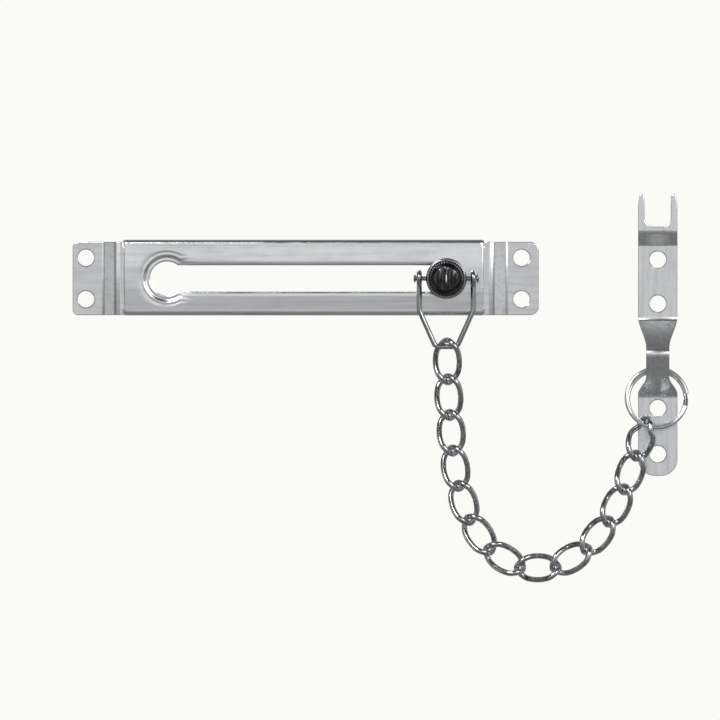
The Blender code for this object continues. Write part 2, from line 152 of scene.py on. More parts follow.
# ---------------------------------------------------------------- materials
def ramp(nodes, stops, source, links):
    """Colour ramp of grey values or colours at the given positions."""
    made = nodes.new("ShaderNodeValToRGB")
    elements = made.color_ramp.elements
    while len(elements) < len(stops):
        elements.new(0.5)
    for element, (place, value) in zip(elements, stops):
        element.position = place
        rgb = value if isinstance(value, tuple) else (value,) * 3
        element.color = (*rgb, 1.0)
    links.new(source, made.inputs["Fac"])
    return made.outputs["Color"]


def noise(nodes, links, coords, stretch, scale, detail, rough=0.5):
    """Noise whose cells are stretched by `stretch` along each axis."""
    mapping = nodes.new("ShaderNodeMapping")
    mapping.inputs["Scale"].default_value = [1.0 / s for s in stretch]
    links.new(coords, mapping.inputs["Vector"])
    made = nodes.new("ShaderNodeTexNoise")
    made.inputs["Scale"].default_value = scale
    made.inputs["Detail"].default_value = detail
    made.inputs["Roughness"].default_value = rough
    links.new(mapping.outputs["Vector"], made.inputs["Vector"])
    return made.outputs["Fac"]


def steel(name, dark, light, smooth, rough, grain, stretch, relief, stain=0.35, painted_highlight_off_wall=None):
    """Bare metal: blotchy tone between `dark` and `light`, roughness from `smooth` to
    `rough`, and grinding marks `stretch` times as long as wide with `relief` in bump.
    Parts farther off the wall than the last argument, in millimetres, are painted bright grey: a painted
    highlight."""
    made = bpy.data.materials.new(name)
    made.use_nodes = True
    nodes, links = made.node_tree.nodes, made.node_tree.links
    shader = nodes["Principled BSDF"]
    shader.inputs["Metallic"].default_value = 1.0
    coords = nodes.new("ShaderNodeTexCoord").outputs["Object"]

    marks = noise(nodes, links, coords, stretch, grain, 4.0, 0.6)
    cloud = noise(nodes, links, coords, (1, 1, 1), 160.0, 5.0, 0.62)
    speck = noise(nodes, links, coords, (1, 1, 1), 1500.0, 3.0)

    blend = nodes.new("ShaderNodeMix")
    blend.inputs["Factor"].default_value = stain
    links.new(marks, blend.inputs["A"])
    links.new(cloud, blend.inputs["B"])
    tone = blend.outputs["Result"]
    colour = ramp(nodes, ((0.32, dark), (0.52, light), (0.68, tuple(min(1.0, 1.07 * c) for c in light))),
                  tone, links)
    # painted highlight: whatever stands farther off the wall than the given distance gets a bright grey
    # base colour
    if painted_highlight_off_wall:
        place = nodes.new("ShaderNodeSeparateXYZ")
        links.new(coords, place.inputs["Vector"])
        painted_highlight_mask = nodes.new("ShaderNodeMapRange")
        painted_highlight_mask.inputs["From Min"].default_value = -painted_highlight_off_wall * MM
        painted_highlight_mask.inputs["From Max"].default_value = -(painted_highlight_off_wall + 0.03) * MM
        links.new(place.outputs["Y"], painted_highlight_mask.inputs["Value"])
        bright = nodes.new("ShaderNodeMix")
        bright.data_type = 'RGBA'
        bright.inputs["B"].default_value = (0.9, 0.9, 0.9, 1.0)
        links.new(painted_highlight_mask.outputs["Result"], bright.inputs["Factor"])
        links.new(colour, bright.inputs["A"])
        colour = bright.outputs["Result"]
    links.new(colour, shader.inputs["Base Color"])

    gloss = nodes.new("ShaderNodeMapRange")
    gloss.inputs["From Min"].default_value = 0.3
    gloss.inputs["From Max"].default_value = 0.7
    gloss.inputs["To Min"].default_value = rough
    gloss.inputs["To Max"].default_value = smooth
    links.new(cloud, gloss.inputs["Value"])
    links.new(gloss.outputs["Result"], shader.inputs["Roughness"])

    height = nodes.new("ShaderNodeMix")
    height.inputs["Factor"].default_value = 0.3
    links.new(marks, height.inputs["A"])
    links.new(speck, height.inputs["B"])
    bump = nodes.new("ShaderNodeBump")
    bump.inputs["Strength"].default_value = relief
    bump.inputs["Distance"].default_value = 0.00004
    links.new(height.outputs["Result"], bump.inputs["Height"])
    links.new(bump.outputs["Normal"], shader.inputs["Normal"])
    return made


# ---------------------------------------------------------------- mesh helpers
def new_mesh(bm, name):
    """Turns a bmesh in millimetres into a mesh in metres, with doubles merged and face normals made
    consistent.
    """
    bmesh.ops.remove_doubles(bm, verts=bm.verts, dist=1e-4)
    bmesh.ops.recalc_face_normals(bm, faces=bm.faces)
    bmesh.ops.scale(bm, vec=(MM, MM, MM), verts=bm.verts)
    mesh = bpy.data.meshes.new(name)
    bm.to_mesh(mesh)
    bm.free()
    return mesh


def make_object(bm, name):
    made = bpy.data.objects.new(name, new_mesh(bm, name))
    bpy.context.scene.collection.objects.link(made)
    return made


def settle(piece):
    """Applies the piece's modifiers to its mesh."""
    graph = bpy.context.evaluated_depsgraph_get()
    mesh = bpy.data.meshes.new_from_object(piece.evaluated_get(graph))
    piece.modifiers.clear()
    piece.data = mesh


def combine(piece, tool, operation='DIFFERENCE'):
    """Exact Boolean with a tool, which is then removed."""
    modifier = piece.modifiers.new("combine", 'BOOLEAN')
    modifier.operation = operation
    modifier.solver = 'EXACT'
    modifier.object = tool
    settle(piece)
    bpy.data.objects.remove(tool, do_unlink=True)


def soften(piece, width, segments=3, angle=40.0):
    """Rounds the edges that turn more than `angle`."""
    modifier = piece.modifiers.new("soften", 'BEVEL')
    modifier.width = width * MM
    modifier.segments = segments
    modifier.limit_method = 'ANGLE'
    modifier.angle_limit = math.radians(angle)
    modifier.use_clamp_overlap = False
    settle(piece)


def finish_piece(piece, material, body, nodes):
    piece.data.shade_smooth()
    piece.data.set_sharp_from_angle(angle=math.radians(SHARP))
    for face in piece.data.polygons:
        if len(face.vertices) > 4 and face.area > FLAT_AREA * MM * MM:
            face.use_smooth = False
    piece.data.materials.clear()
    piece.data.materials.append(material)
    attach(piece, body)
    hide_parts(*nodes)
    return piece


def along_x(u, v, w):
    """u along x, v off the wall, w along z."""
    return Vector((u, -v, w))


def along_z(u, v, w):
    """u along z, v off the wall, w along x."""
    return Vector((w, -v, u))


def on_wall(u, v, w):
    """u along x, v along z, w off the wall."""
    return Vector((u, -w, v))


def prism(bm, loop, low, high, place):
    """Extrudes the closed polygon `loop` from w = low to w = high."""
    near = [bm.verts.new(place(u, v, low)) for u, v in loop]
    far = [bm.verts.new(place(u, v, high)) for u, v in loop]
    bm.faces.new(near[::-1])
    bm.faces.new(far)
    for i in range(len(loop)):
        j = (i + 1) % len(loop)
        bm.faces.new((near[i], near[j], far[j], far[i]))


def arc(cx, cy, radius, start, stop, steps):
    """Points of an arc, both ends included; angles in degrees."""
    angles = [math.radians(start + (stop - start) * k / steps) for k in range(steps + 1)]
    return [(cx + radius * math.cos(t), cy + radius * math.sin(t)) for t in angles]


def circle(cx, cy, radius, steps):
    return arc(cx, cy, radius, 0.0, 360.0, steps)[:-1]


def fillet(path, radii, steps=12):
    """Open polyline with its inner corners rounded."""
    out = [Vector(path[0])]
    for i, radius in enumerate(radii, start=1):
        before, corner, after = (Vector(path[i + k]) for k in (-1, 0, 1))
        back, ahead = (before - corner).normalized(), (after - corner).normalized()
        half = back.angle(ahead) / 2.0
        middle = corner + (back + ahead).normalized() * (radius / math.sin(half))
        first = corner + back * (radius / math.tan(half)) - middle
        last = corner + ahead * (radius / math.tan(half)) - middle
        start = math.atan2(first.y, first.x)
        turn = (math.atan2(last.y, last.x) - start + math.pi) % (2 * math.pi) - math.pi
        for k in range(steps + 1):
            t = start + turn * k / steps
            out.append(middle + radius * Vector((math.cos(t), math.sin(t))))
    out.append(Vector(path[-1]))
    return out


def thicken(path, left, right):
    """Closed polygon `left` and `right` of an open path's direction."""
    sides = ([], [])
    for i, point in enumerate(path):
        steps = [path[k + 1] - path[k] for k in (i - 1, i) if 0 <= k < len(path) - 1]
        normals = [Vector((-d.y, d.x)).normalized() for d in (steps[0], steps[-1])]
        miter = (normals[0] + normals[1]).normalized()
        miter /= miter.dot(normals[0])
        for side, distance in zip(sides, (left, -right)):
            moved = point + miter * distance
            side.append((moved.x, moved.y))
    return sides[0] + sides[1][::-1]


def bridge(bm, rings, closed=False):
    """Faces between rings of vertices; a ring of one vertex is a pole."""
    pairs = list(zip(rings, rings[1:] + rings[:1]))
    for a, b in pairs if closed else pairs[:-1]:
        count = max(len(a), len(b))
        for k in range(count):
            j = (k + 1) % count
            corners = [a[k % len(a)], a[j % len(a)], b[j % len(b)], b[k % len(b)]]
            bm.faces.new(list(dict.fromkeys(corners)))


def lathe(bm, profile, segments, closed, radius_at=None):
    """Turns a profile of (radius, distance off the wall) about the knob's axis."""
    rings = []
    for radius, off_wall in profile:
        ring = []
        for k in range(segments if radius > 0.0 else 1):
            r = radius_at(radius, off_wall, k) if radius_at else radius
            t = 2 * math.pi * k / segments
            ring.append(bm.verts.new((KNOB_X + r * math.cos(t), -off_wall, r * math.sin(t))))
        rings.append(ring)
    bridge(bm, rings, closed)


def tube(bm, points, radius_at, sides, closed):
    """Round wire along points, with a frame that doesn't twist."""
    count = len(points)
    if closed:
        tangents = [(points[(i + 1) % count] - points[i - 1]).normalized() for i in range(count)]
    else:
        tangents = [(points[min(i + 1, count - 1)] - points[max(i - 1, 0)]).normalized()
                    for i in range(count)]
    ups = [tangents[0].orthogonal().normalized()]
    for i in range(1, count):
        up = tangents[i - 1].rotation_difference(tangents[i]) @ ups[-1]
        ups.append((up - tangents[i] * up.dot(tangents[i])).normalized())
    if closed:
        carried = tangents[-1].rotation_difference(tangents[0]) @ ups[-1]
        slip = ups[0].angle(carried)
        if tangents[0].dot(carried.cross(ups[0])) < 0:
            slip = -slip
        ups = [Matrix.Rotation(slip * i / count, 3, tangents[i]) @ up for i, up in enumerate(ups)]
    rings = []
    for i, (point, tangent, up) in enumerate(zip(points, tangents, ups)):
        side = tangent.cross(up)
        rings.append([bm.verts.new(point + radius_at(i) * (up * x + side * y))
                      for x, y in circle(0.0, 0.0, 1.0, sides)])
    bridge(bm, rings, closed)
    if not closed:
        bm.faces.new(rings[0][::-1])
        bm.faces.new(rings[-1])


def direction(heading):
    """Unit vector in the wall's plane; 0 degrees is +X and 90 is +Z."""
    return Vector((math.cos(math.radians(heading)), 0.0, math.sin(math.radians(heading))))


def smooth_step(t):
    t = max(0.0, min(1.0, t))
    return t * t * (3 - 2 * t)


def drill(piece, x, z, back, front):
    """A screw hole through a sheet between those two faces, with both rims chamfered."""
    above = 0.3
    profile = ((HOLE_R + CHAMFER + above, back - above), (HOLE_R, back + CHAMFER),
               (HOLE_R, front - CHAMFER), (HOLE_R + CHAMFER + above, front + above))
    bm = bmesh.new()
    rings = [[bm.verts.new(on_wall(u, v, off_wall)) for u, v in circle(x, z, radius, 72)]
             for radius, off_wall in profile]
    bridge(bm, rings)
    bm.faces.new(rings[0])
    bm.faces.new(rings[-1][::-1])
    combine(piece, make_object(bm, "drill"))


# ---------------------------------------------------------------- track plate
def slot_ring(offset):
    """The keyhole slot's outline, moved outwards by `offset`, as points (x, z)."""
    hole_r, half = KEYHOLE_R + offset, SLOT_HALF + offset
    cusp = math.sqrt(hole_r ** 2 - half ** 2)
    lean = math.degrees(math.atan2(half, cusp))
    start, steps = KEYHOLE_X + cusp, 56
    along = [start + (KNOB_X - start) * k / steps for k in range(1, steps)]
    return (arc(KEYHOLE_X, 0.0, hole_r, lean, 360.0 - lean, 88) + [(x, -half) for x in along]
            + arc(KNOB_X, 0.0, half, -90.0, 90.0, 44) + [(x, half) for x in along[::-1]])


def face_edge(points, top, bottom):
    """Where each point of a ring meets the face's rectangular outline."""
    out = []
    for x, z in points:
        limit = top if z >= 0.0 else bottom
        if KEYHOLE_X <= x <= KNOB_X:
            out.append([x, limit])
            continue
        centre, end = (KEYHOLE_X, CHANNEL_LEFT) if x < KEYHOLE_X else (KNOB_X, CHANNEL_RIGHT)
        across = (end - centre) / (x - centre)
        down = limit / z if z else math.inf
        scale = min(across, down)
        out.append([centre + scale * (x - centre), scale * z])
    corners = [(end, limit) for end in (CHANNEL_LEFT, CHANNEL_RIGHT) for limit in (top, bottom)]
    for corner in corners:
        nearest = min(out, key=lambda p: math.dist(p, corner))
        nearest[:] = corner
        # points on the long edge crowd towards the corner, where the face rolls off
        end, limit = corner
        centre = KEYHOLE_X if end == CHANNEL_LEFT else KNOB_X
        stretch = [p for p in out
                   if abs(p[1] - limit) < NEAR and (p[0] - centre) * (end - centre) > NEAR]
        stretch.sort(key=lambda p: abs(p[0] - centre))
        for k, point in enumerate(stretch, start=1):
            point[0] = centre + (end - centre) * (1.0 - (1.0 - k / len(stretch)) ** CROWDING)
    return [tuple(p) for p in out]


def rolled(distance, width, depth):
    """Drop of a quarter-round edge at `distance` from it."""
    share = 1.0 - min(1.0, max(0.0, distance / width))
    return depth * (1.0 - math.sqrt(1.0 - share * share))


def face_height(x, z, offset):
    """Distance off the wall of the channel's front."""
    height = STAND + SHEET
    height -= CROWN * smooth_step((abs(z) - 2.0) / 9.0)
    dish = (RIM_R - math.hypot(x - KEYHOLE_X, z)) / (RIM_R - KEYHOLE_R)
    lip = rolled(offset, SLOT_ROLL, SLOT_ROLL_DEPTH)
    if dish > 0.0:
        ripple = RIM_RIPPLE * math.sin(4 * math.pi * min(1.0, dish))
        lip = max(0.35 * lip, RIM_DEPTH * smooth_step(dish) + ripple)
    end = min(x - CHANNEL_LEFT, CHANNEL_RIGHT - x)
    return height - lip - rolled(end, END_ROLL, END_ROLL_DEPTH)


def make_channel():
    """The raised part: front and back faces around the slot, and the bent flanges."""
    front = STAND + SHEET
    top, bottom = PLATE_TOP - LIP_BEND_R - 0.25, PLATE_BOTTOM + LIP_BEND_R + 0.25
    # stations of the face: distances from the slot, then shares of the way to the outline
    offsets = (0.0, 0.04, 0.1, 0.18, 0.28, 0.4, 0.55, 0.7, 0.85, 1.0,
               1.15, 1.3, 1.5, 1.7, 1.9, 2.1, 2.3, 2.5, 2.7)
    shares = (0.12, 0.25, 0.38, 0.5, 0.62, 0.72, 0.8, 0.86, 0.9, 0.93, 0.955, 0.975, 0.99, 1.0)
    rings = [[(x, z, offset) for x, z in slot_ring(offset)] for offset in offsets]
    last = slot_ring(offsets[-1])
    outer = face_edge(last, top, bottom)
    for share in shares:
        rings.append([(x0 + (x1 - x0) * share, z0 + (z1 - z0) * share, OFF_SLOT)
                      for (x0, z0), (x1, z1) in zip(last, outer)])
    bm = bmesh.new()
    fronts = [[bm.verts.new(on_wall(x, z, face_height(x, z, offset))) for x, z, offset in ring]
              for ring in rings]
    bridge(bm, fronts)
    backs = [[bm.verts.new(on_wall(x, z, STAND)) for x, z, offset in ring]
             for ring in (rings[0], rings[-1])]
    bridge(bm, [fronts[0], backs[0]])
    bridge(bm, backs)

    # flanges: sections swept along the face's own stations
    count = len(outer)
    for limit, sign in ((top, 1.0), (bottom, -1.0)):
        edge = [i for i in range(count) if outer[i][1] == limit]
        edge.sort(key=lambda i: outer[i][0])
        rim = PLATE_TOP if sign > 0 else PLATE_BOTTOM
        sections = []
        for i in edge:
            x = outer[i][0]
            height = face_height(x, limit, OFF_SLOT)
            drop = front - height
            crease = rolled(min(x - CHANNEL_LEFT, CHANNEL_RIGHT - x), END_ROLL, 0.2)
            outside = [(limit, height)]
            bend = arc(rim - sign * (LIP_BEND_R + crease), height - LIP_BEND_R, LIP_BEND_R, 90.0, 0.0, 14)
            pivot = rim - sign * (LIP_BEND_R + crease)
            outside += [(pivot + sign * (u - pivot), v) for u, v in bend]
            outside.append((rim - sign * crease, LIP_OFF_WALL + 0.25))
            outside.append((rim - sign * (crease + 0.08), LIP_OFF_WALL + 0.06))
            outside.append((rim - sign * (crease + 0.25), LIP_OFF_WALL))
            outside.append((rim - sign * (SHEET - 0.2), LIP_OFF_WALL))
            outside.append((rim - sign * SHEET, LIP_OFF_WALL + 0.2))
            outside.append((rim - sign * SHEET, STAND - 0.3 - 0.2 * drop))
            outside.append((rim - sign * (SHEET + 0.1), STAND - 0.08))
            outside.append((rim - sign * (SHEET + 0.3), STAND))
            outside.append((limit, STAND))
            sections.append([bm.verts.new(along_z(u, v, x)) for u, v in outside])
        for a, b in zip(sections, sections[1:]):
            for k in range(len(a) - 1):
                bm.faces.new((a[k], a[k + 1], b[k + 1], b[k]))
    bmesh.ops.remove_doubles(bm, verts=bm.verts, dist=1e-4)
    bmesh.ops.holes_fill(bm, edges=[e for e in bm.edges if e.is_boundary], sides=0)
    return make_object(bm, "track_plate_visual")


def make_end(sign, tab, foot, head, channel, corner_r, hole_x):
    """Tab, riser and the tongue that runs into the channel; sign is +1 on the left."""
    half = SHEET / 2.0
    inner = channel + sign * TONGUE_IN
    level = STAND + SHEET / 2.0 - SKIN
    path = fillet([(tab - sign, half), (foot, half), (head, level), (inner, level)],
                  (TAB_BEND_R, HEAD_BEND_R))
    bm = bmesh.new()
    prism(bm, thicken(path, half, half), -TAB_HALF - 1.0, TAB_HALF + 1.0, along_x)
    end = make_object(bm, "track_end")

    corner_x, corner_z = tab + sign * corner_r, TAB_HALF - corner_r
    outline = [(corner_x - sign * (u - corner_x), v)
               for u, v in arc(corner_x, -corner_z, corner_r, -90.0, 0.0, 14)
               + arc(corner_x, corner_z, corner_r, 0.0, 90.0, 14)]
    shoulder, past = channel - sign * 0.06, inner + sign
    outline += [(shoulder, TAB_HALF), (shoulder, TONGUE_HALF), (past, TONGUE_HALF),
                (past, -TONGUE_HALF), (shoulder, -TONGUE_HALF), (shoulder, -TAB_HALF)]
    bm = bmesh.new()
    prism(bm, outline, -1.0, STAND + 2 * SHEET, on_wall)
    combine(end, make_object(bm, "outline"), 'INTERSECT')
    soften(end, EDGE)
    for z in (TAB_HOLE_Z, -TAB_HOLE_Z):
        drill(end, hole_x, z, 0.0, SHEET)
    return end


def make_track_plate(metal):
    plate = make_channel()
    for end in ((1.0, TAB_LEFT, FOOT_LEFT, HEAD_LEFT, CHANNEL_LEFT, CORNER_LEFT, TAB_HOLE_LEFT),
                (-1.0, TAB_RIGHT, FOOT_RIGHT, HEAD_RIGHT, CHANNEL_RIGHT, CORNER_RIGHT, TAB_HOLE_RIGHT)):
        combine(plate, make_end(*end), 'UNION')
    finish_piece(plate, metal, "base", ["track_plate"])


# ---------------------------------------------------------------- sliding knob
def make_washer(metal):
    front = STAND - GAP
    back = front - WASHER_T
    bore, curl = TAIL_R + GAP, 0.2
    profile = [(bore, front), (WASHER_R - curl, front)]
    profile += arc(WASHER_R - curl, front - curl, curl, 90.0, 0.0, 5)[1:]
    profile += arc(WASHER_R - curl, back + curl, curl, 0.0, -90.0, 5)
    profile += [(bore, back)]
    bm = bmesh.new()
    lathe(bm, profile, 96, True)
    washer = make_object(bm, "slide_washer_visual")
    finish_piece(washer, metal, "slider", ["slide_washer"])


def make_knob(metal):
    rivet_front = STAND - 2 * GAP - WASHER_T
    edge = HEAD_FRONT - HEAD_DOME
    profile = [(RIVET_R * s, RIVET_BACK + 0.25 * s ** 4) for s in (0.0, 0.3, 0.5, 0.7, 0.85, 0.95)]
    profile += [(RIVET_R, RIVET_BACK + 0.4), (RIVET_R, rivet_front), (TAIL_R, rivet_front),
                (TAIL_R, STAND), (NECK_R, STAND), (NECK_R, HEAD_BACK), (HEAD_R - 0.5, HEAD_BACK),
                (HEAD_R - 0.3, HEAD_BACK + 0.1), (HEAD_R - 0.1, HEAD_BACK + 0.35),
                (HEAD_R, HEAD_BACK + 0.6), (HEAD_R, edge - 0.4), (HEAD_R - 0.1, edge - 0.1),
                (HEAD_R - 0.35, edge + 0.15)]
    # stepped face: a rim, a turned groove and a domed middle
    profile += [(HEAD_R - 0.7, edge + 0.3), (4.1, edge + 0.34), (3.95, edge + 0.22), (3.75, edge + 0.12),
                (3.55, edge + 0.22), (3.42, edge + 0.42)]
    dome_r, dome_low = 3.3, edge + 0.52
    profile += [(dome_r * x, dome_low + (HEAD_FRONT - dome_low) * y)
                for x, y in arc(0.0, 0.0, 1.0, 0.0, 90.0, 30)[:-1]]
    profile.append((0.0, HEAD_FRONT))
    per_tooth = 6
    wave = (1.0, 0.75, 0.25, 0.0, 0.25, 0.75)

    def knurled(radius, off_wall, k):
        lower, upper = HEAD_BACK + 0.2, edge + 0.2
        if radius < HEAD_R - 0.4 or not lower < off_wall < upper:
            return radius
        return radius - TOOTH * wave[k % per_tooth]

    bm = bmesh.new()
    lathe(bm, profile, per_tooth * TEETH, False, knurled)
    for vert in bm.verts:
        # grip ribs down the domed middle, deepest near its centre
        if round(-vert.co.y, 4) > dome_low:
            across = vert.co.x - KNOB_X
            reach = 1.0 - (math.hypot(across, vert.co.z) / dome_r) ** 4
            groove = 0.5 - 0.5 * math.cos(2 * math.pi * across / RIB_PITCH)
            vert.co.y += RIB_DEPTH * max(0.0, reach) * groove
    knob = make_object(bm, "knurled_knob_visual")
    finish_piece(knob, metal, "knob", ["knurled_knob"])


def make_collar(metal):
    bore = NECK_R + GAP
    profile = [(bore, COLLAR_BACK), (COLLAR_R - 0.3, COLLAR_BACK)]
    profile += arc(COLLAR_R - 0.3, COLLAR_BACK + 0.3, 0.3, -90.0, 0.0, 6)[1:]
    middle = (COLLAR_BACK + COLLAR_FRONT) / 2
    profile += [(COLLAR_R, middle - 0.35), (COLLAR_R - 0.22, middle - 0.12),
                (COLLAR_R - 0.22, middle + 0.12), (COLLAR_R, middle + 0.35)]
    profile += arc(COLLAR_R - 0.5, COLLAR_FRONT - 0.5, 0.5, 0.0, 90.0, 8)
    profile += [(4.55, COLLAR_FRONT), (4.4, COLLAR_FRONT - 0.14), (4.2, COLLAR_FRONT - 0.14),
                (4.05, COLLAR_FRONT), (bore + 0.15, COLLAR_FRONT), (bore, COLLAR_FRONT - 0.15)]
    bm = bmesh.new()
    lathe(bm, profile, 128, True)
    collar = make_object(bm, "bail_collar_visual")
    pin = [(COLLAR_R - 0.8, PIN_R), (PIN_END, PIN_R), (PIN_END, PIN_HEAD_R - 0.12),
           (PIN_END + 0.1, PIN_HEAD_R)]
    pin += [(PIN_END + 0.1 + (PIN_HEAD_T - 0.1) * y, PIN_HEAD_R * (0.25 + 0.75 * x))
            for x, y in arc(0.0, 0.0, 1.0, 20.0, 90.0, 6)]
    for sign in (1, -1):
        bm = bmesh.new()
        rings = [[bm.verts.new((KNOB_X + sign * x, -PIN_OFF_WALL + u, v))
                  for u, v in circle(0.0, 0.0, radius, 36)] for x, radius in pin]
        bridge(bm, rings)
        bm.faces.new(rings[0])
        bm.faces.new(rings[-1][::-1])
        combine(collar, make_object(bm, "trunnion"), 'UNION')
    finish_piece(collar, metal, "bail", ["bail_collar"])


def make_bail(metal):
    """One wire: eye, leg, flat bottom, leg, eye."""
    def eye(sign):
        return [Vector((KNOB_X + sign * BAIL_HALF, -(PIN_OFF_WALL + u), v))
                for u, v in arc(0.0, 0.0, EYE_R, -98.0, 180.0, 48)]

    corners = [(-BAIL_HALF, 0.0), (-BAIL_HALF, -BAIL_KNEE), (-BAIL_FOOT_HALF, -BAIL_DROP),
               (BAIL_FOOT_HALF, -BAIL_DROP), (BAIL_HALF, -BAIL_KNEE), (BAIL_HALF, 0.0)]
    rounded = fillet(corners, (3.0, 1.5, 1.5, 3.0), 16)[1:-1]
    legs = [Vector((KNOB_X + p.x, -(PIN_OFF_WALL - EYE_R), p.y)) for p in rounded]
    path = eye(-1) + legs + eye(1)[::-1]
    last = len(path) - 1

    def radius_at(i):
        return BAIL_WIRE_R * (0.86 if i in (0, last) else 1.0)

    bm = bmesh.new()
    tube(bm, path, radius_at, 20, False)
    finish_piece(make_object(bm, "wire_bail_visual"), metal, "bail", ["wire_bail"])


# ---------------------------------------------------------------- chain and ring
def link_loop(early_reach=None):
    """Centreline of one link: long axis x, width z, its two ends turned opposite ways.
    The far end turns over its whole half, or over `early_reach`."""
    half_length = PITCH / 2.0 + GAP / 2.0 + LINK_WIRE_R
    half_width = LINK_WIDTH / 2.0 - LINK_WIRE_R
    straight = half_length - half_width
    side = [straight * (1 - k / 6.0) for k in range(1, 12)]
    flat = arc(straight, 0.0, half_width, -90.0, 90.0, 32)
    flat += [(u, half_width) for u in side]
    flat += arc(-straight, 0.0, half_width, 90.0, 270.0, 32)
    flat += [(-u, -half_width) for u in side]
    points = []
    for u, w in flat:
        reach = early_reach if early_reach and u > 0.0 else half_length
        turn = math.radians(LINK_TWIST) * min(1.0, u / reach)
        points.append(Vector((u, w * math.sin(turn), w * math.cos(turn))))
    return points


def make_chain(metal):
    """The hanging links in turn; returns where the last one holds the ring."""
    seam = 32 + 6                         # the side's middle, where the wire's ends meet
    hinge = Vector((KNOB_X, -CHAIN_OFF_WALL, 0.0))
    hinge += direction(BAIL_HEADING) * (BAIL_DROP - BAIL_WIRE_R - GAP / 2.0)

    def radius_at(i):
        return (LINK_WIRE_R - CLEAR) * (0.9 if i == seam else 1.0)

    for k in range(1, LINKS + 1):
        heading = HANG_MIDDLE + HANG_SWING * math.tanh((k - HANG_LINK) / HANG_SPREAD)
        centre = hinge + direction(heading) * (PITCH / 2.0)
        turn = Matrix.Rotation(-math.radians(heading), 3, 'Y')
        loop = link_loop(RING_END_REACH if k == LINKS else None)
        bm = bmesh.new()
        tube(bm, [centre + turn @ point for point in loop], radius_at, 18, True)
        name = "chain_link_%02d" % k
        finish_piece(make_object(bm, name + "_visual"), metal, "link_%02d" % k, [name])
        hinge = hinge + direction(heading) * PITCH
    return hinge


def make_ring(metal, hinge):
    """Two coils of wire: top behind the bridge, bottom in front of the bracket."""
    mean_r = RING_R - RING_WIRE_R
    reach = mean_r - RING_WIRE_R - RING_SLACK / 2.0
    centre = hinge + direction(RING_HEADING) * reach
    drop = direction(RING_HEADING).z * reach + mean_r
    lift = CHAIN_OFF_WALL - RING_TOP_OFF_WALL
    centre.y = -CHAIN_OFF_WALL + lift * (drop - mean_r) / drop
    tilt = Matrix.Rotation(-math.atan2(lift, drop), 3, 'X')
    steps = 264
    points = []
    for k in range(steps + 1):
        turned = 720.0 * k / steps * COIL_SHARE
        coil = max(0.0, min(1.0, (turned - (360.0 - COIL_JOG)) / COIL_JOG)) - 0.5
        t = math.radians(turned + COIL_START)
        coil_r = mean_r - COIL_INSET * (coil + 0.5)
        place = Vector((coil_r * math.cos(t), COIL_STEP * coil, coil_r * math.sin(t)))
        points.append(centre + tilt @ place)

    def radius_at(i):
        return (RING_WIRE_R - CLEAR) * (0.84 if i in (0, steps) else 1.0)

    bm = bmesh.new()
    tube(bm, points, radius_at, 16, False)
    finish_piece(make_object(bm, "split_ring_visual"), metal, "ring", ["split_ring"])


# ---------------------------------------------------------------- jamb bracket
def bracket_half_width(z):
    if z > NECK_TOP:
        share = (z - NECK_TOP) / (BRIDGE_TOP + 1.0 - NECK_TOP)
    else:
        share = (NECK_BOTTOM - z) / NECK_FLARE
    return NECK_HALF + (BRACKET_HALF - NECK_HALF) * smooth_step(share)


def make_bracket(metal):
    half = SHEET / 2.0
    path = fillet([(BRACKET_TOP + 1.0, STAND + half), (JOGGLE_TOP, STAND + half),
                   (JOGGLE_BOTTOM, half), (BRIDGE_TOP, half), (CREST_Z, CREST_OFF_WALL + half),
                   (BRIDGE_BOTTOM, half), (BRACKET_BOTTOM - 1.0, half)],
                  (1.2, 1.2, 2.2, 1.3, 2.0), 12)
    bm = bmesh.new()
    prism(bm, thicken(path, half, half), BRACKET_X - 8.0, BRACKET_X + 8.0, along_z)
    bracket = make_object(bm, "jamb_bracket_visual")

    # right-hand half of the plan outline, from the foot up and down into the fork
    right = arc(BRACKET_HALF - FOOT_CORNER, BRACKET_BOTTOM + FOOT_CORNER, FOOT_CORNER, -90.0, 0.0, 20)
    low, high, steps = BRIDGE_BOTTOM - 1.4, BRIDGE_TOP + 2.0, 90
    levels = [low + (high - low) * k / steps for k in range(1, steps + 1)]
    right += [(bracket_half_width(z), z) for z in levels]
    right += [(BRACKET_HALF, BRACKET_TOP - PRONG_TAPER), (BRACKET_HALF - 0.35, BRACKET_TOP - 0.5),
              (BRACKET_HALF - 0.75, BRACKET_TOP), (FORK_HALF + 0.55, BRACKET_TOP),
              (FORK_HALF + 0.15, BRACKET_TOP - 0.5), (FORK_HALF, BRACKET_TOP - PRONG_TAPER)]
    right += arc(FORK_HALF - FORK_FLOOR_R, FORK_FLOOR + FORK_FLOOR_R, FORK_FLOOR_R, 0.0, -90.0, 14)
    outline = [(BRACKET_X + u, v) for u, v in right] + [(BRACKET_X - u, v) for u, v in right[::-1]]
    bm = bmesh.new()
    prism(bm, outline, -1.0, CREST_OFF_WALL + 5 * SHEET, on_wall)
    combine(bracket, make_object(bm, "outline"), 'INTERSECT')
    soften(bracket, EDGE)
    for z in BRACKET_HOLES:
        drill(bracket, BRACKET_X, z, 0.0, SHEET)
    finish_piece(bracket, metal, "base", ["jamb_bracket"])


# ---------------------------------------------------------------- studio
def add_area(name, place, target, size, watts):
    light = bpy.data.lights.new(name, 'AREA')
    light.shape = 'DISK'
    light.size = size
    light.energy = watts
    lamp = bpy.data.objects.new(name, light)
    lamp.location = place
    lamp.rotation_euler = (Vector(target) - Vector(place)).to_track_quat('-Z', 'Y').to_euler()
    lamp.visible_camera = False
    bpy.context.scene.collection.objects.link(lamp)


def degrees(angle):
    """Place on the front bands of an angle over the horizon in front."""
    return angle / 360.0 + 0.5


